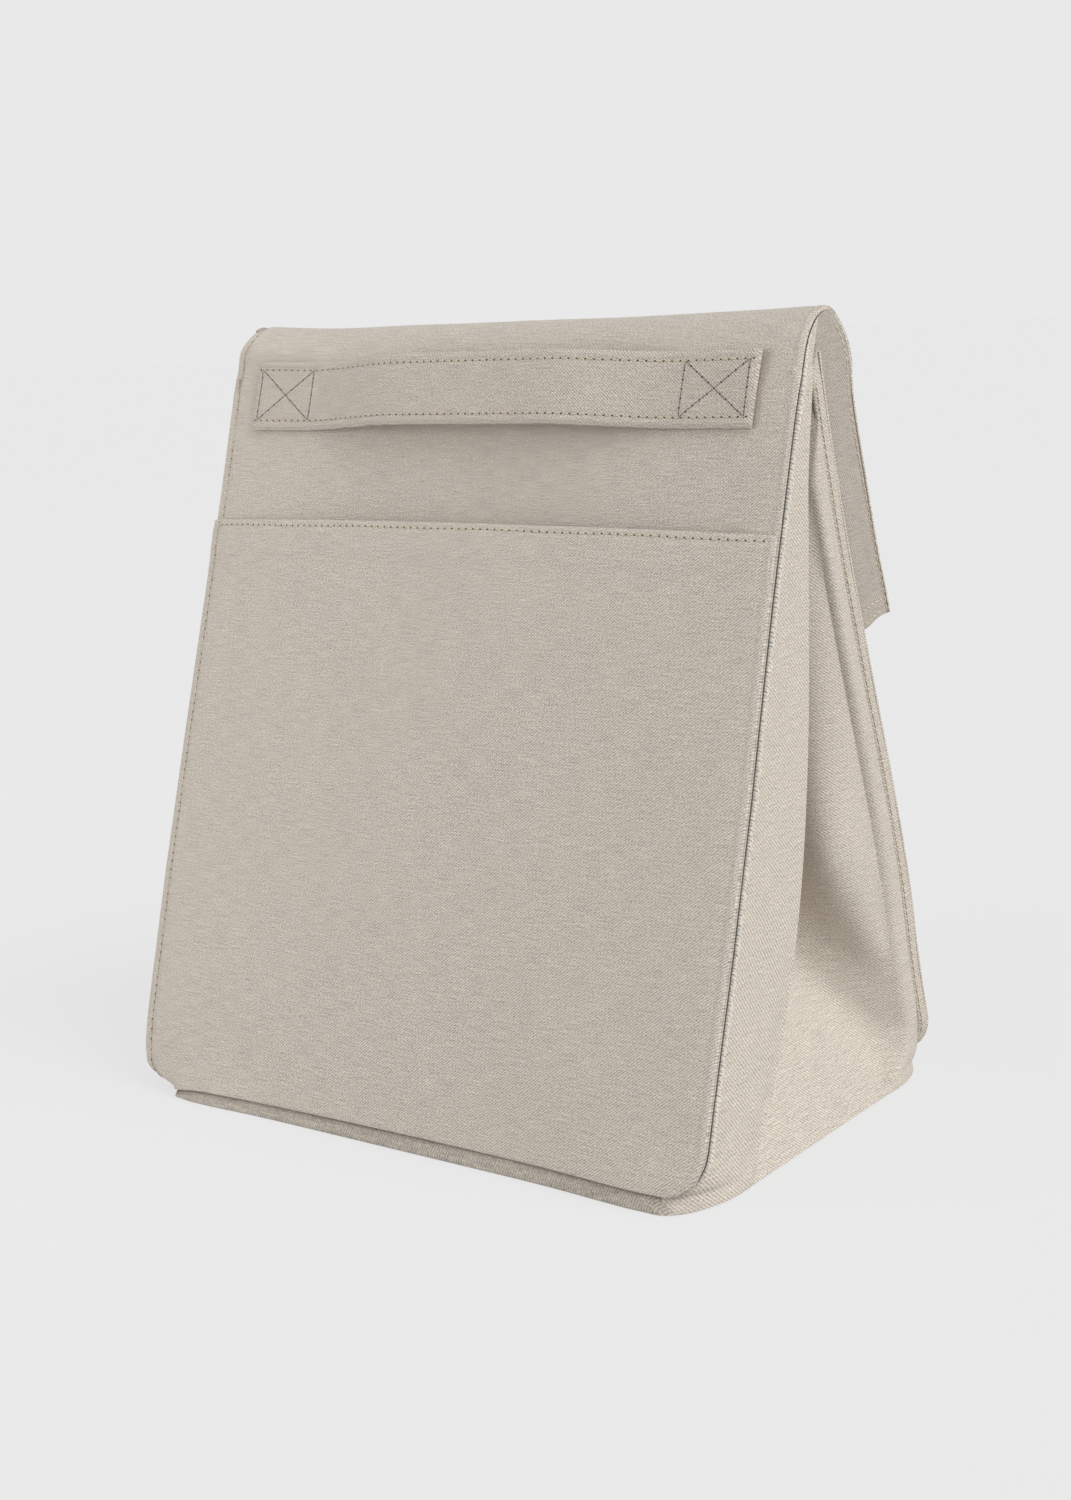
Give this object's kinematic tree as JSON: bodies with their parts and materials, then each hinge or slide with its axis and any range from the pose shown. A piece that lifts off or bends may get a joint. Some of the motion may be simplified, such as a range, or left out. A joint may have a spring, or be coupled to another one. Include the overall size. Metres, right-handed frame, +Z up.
{
  "type": "insulated lunch bag",
  "caption": "Soft fold-top insulated lunch bag that stands on its base, with side gussets, front pocket and a sewn strap handle near the top",
  "frame": {"origin": "middle of the flat foot, on the surface the bag stands on", "axes": "+X right seen from the front, the front with the pocket and handle faces -Y, +Z up"},
  "size_m": [0.24, 0.1528, 0.2637],
  "materials": {
    "cloth": "warm grey-beige woven cloth with fine level slubs, matt",
    "foam": "white closed-cell foam",
    "lining": "pale silver-grey wipe-clean lining, slight sheen",
    "board": "dark grey stiffening board",
    "thread_dark": "dark grey sewing thread",
    "thread_light": "beige sewing thread",
    "touch_tape": "beige hook-and-loop tape"
  },
  "bodies": {
    "root": {"base_panel": "cloth", "base_insulation": "foam", "base_board": "board", "base_lining": "lining", "front_panel": "cloth", "front_insulation": "foam", "front_lining": "lining", "back_panel": "cloth", "back_insulation": "foam", "back_lining": "lining", "gusset_right": "cloth", "gusset_left": "cloth", "gusset_insulation_right": "foam", "gusset_insulation_left": "foam", "gusset_lining_right": "lining", "gusset_lining_left": "lining", "front_pocket": "cloth", "front_panel_fold": "cloth", "back_panel_fold": "cloth", "handle_end_right": "cloth", "handle_end_left": "cloth", "handle_stitching_right": "thread_dark", "handle_stitching_left": "thread_dark", "closure_loop_tape": "touch_tape"},
    "flap_back": {"back_panel_flap": "cloth", "back_lining_flap": "lining", "closure_hook_tape": "touch_tape", "flap_gusset_inner_right": "cloth", "flap_gusset_inner_left": "cloth"},
    "flap_front": {"front_panel_flap": "cloth", "front_lining_flap": "lining", "flap_gusset_outer_right": "cloth", "flap_gusset_outer_left": "cloth"},
    "handle": {"handle_grip": "cloth", "handle_slope_right": "cloth", "handle_slope_left": "cloth"}
  },
  "joints": [
    {"name": "flap_fold", "type": "hinge", "parent": "root", "child": "flap_back", "pos_m": [0, 0.01286, 0.25], "axis": [1, 0, 0], "range_deg": [0, 158], "deforming": ["front_panel_fold", "back_panel_fold"]},
    {"name": "mouth_open", "type": "hinge", "parent": "flap_back", "child": "flap_front", "pos_m": [0, 0.03305, 0.243], "axis": [1, 0, 0], "range_deg": [0, 40]},
    {"name": "handle_lift", "type": "hinge", "parent": "root", "child": "handle", "pos_m": [0, -0.0031, 0.2393], "axis": [-1, 0, 0], "range_deg": [-25, 28], "stiffness_Nm_per_rad": 0.02, "deforming": ["handle_slope_right", "handle_slope_left"]}
  ]
}
